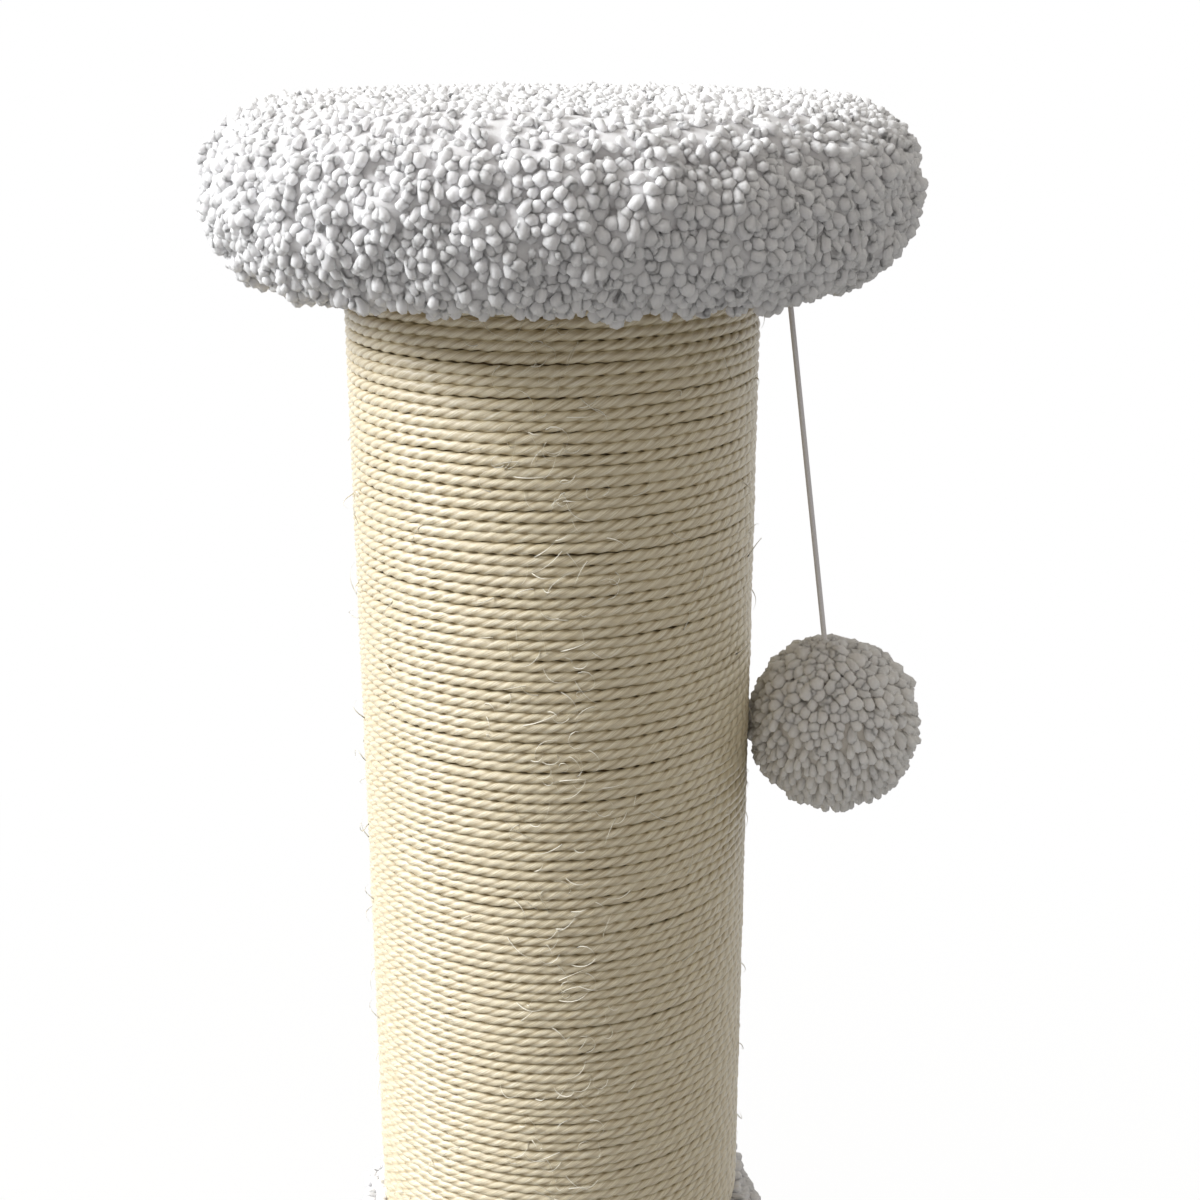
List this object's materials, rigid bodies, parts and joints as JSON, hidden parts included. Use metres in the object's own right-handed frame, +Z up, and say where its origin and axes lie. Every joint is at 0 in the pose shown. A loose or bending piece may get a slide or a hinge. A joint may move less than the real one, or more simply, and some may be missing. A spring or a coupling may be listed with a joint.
{
  "type": "cat scratching post",
  "caption": "Upright cat scratching post wound with sisal rope, with a plush-covered round base and top and a pompom hanging on a string.",
  "frame": {"origin": "on the floor under the post's axis, at the level of the feet's undersides", "axes": "+Z up along the post; +X towards the hanging pompom"},
  "size_m": [0.28, 0.28, 0.4815],
  "materials": {
    "plush": "curly sherpa pile",
    "sisal": "three-strand twisted fibre",
    "pompom_yarn": "cut yarn",
    "string": "smooth woven cord",
    "foam": "open-cell foam",
    "lining": "non-woven",
    "board": "raw particle board",
    "paper_tube": "spiral-wound paper",
    "rubber": "matte",
    "zinc_steel": "zinc-plated steel"
  },
  "bodies": {
    "post": {"base_feet": "rubber", "base_board": "board", "base_cover": "plush", "base_lining": "lining", "base_washer": "zinc_steel", "base_bolt": "zinc_steel", "post_tube": "paper_tube", "lower_plug": "board", "lower_tee_nut": "zinc_steel", "upper_plug": "board", "upper_tee_nut": "zinc_steel", "plush_sleeve": "plush", "sisal_rope": "sisal", "top_stud": "zinc_steel", "top_board": "board", "top_board_tee_nut": "zinc_steel", "top_foam_pad": "foam", "top_cover": "plush", "string_eye": "zinc_steel"},
    "loop": {"toy_loop": "string"},
    "string": {"toy_knot": "string", "toy_string": "string"},
    "ball": {"pompom": "pompom_yarn", "pompom_tie": "pompom_yarn"}
  },
  "joints": [
    {"name": "toy_swing_side", "type": "hinge", "parent": "post", "child": "loop", "pos_m": [0.0662, 0, 0.4339], "axis": [1, 0, 0], "range_deg": [-70, 70]},
    {"name": "toy_swing_out", "type": "hinge", "parent": "loop", "child": "string", "pos_m": [0.0662, 0, 0.4282], "axis": [0, -1, 0], "range_deg": [0, 70]},
    {"name": "pompom_twirl", "type": "hinge", "parent": "string", "child": "ball", "pos_m": [0.0842, 0, 0.29743], "axis": [-0.1364, 0, 0.9907], "continuous": true}
  ]
}
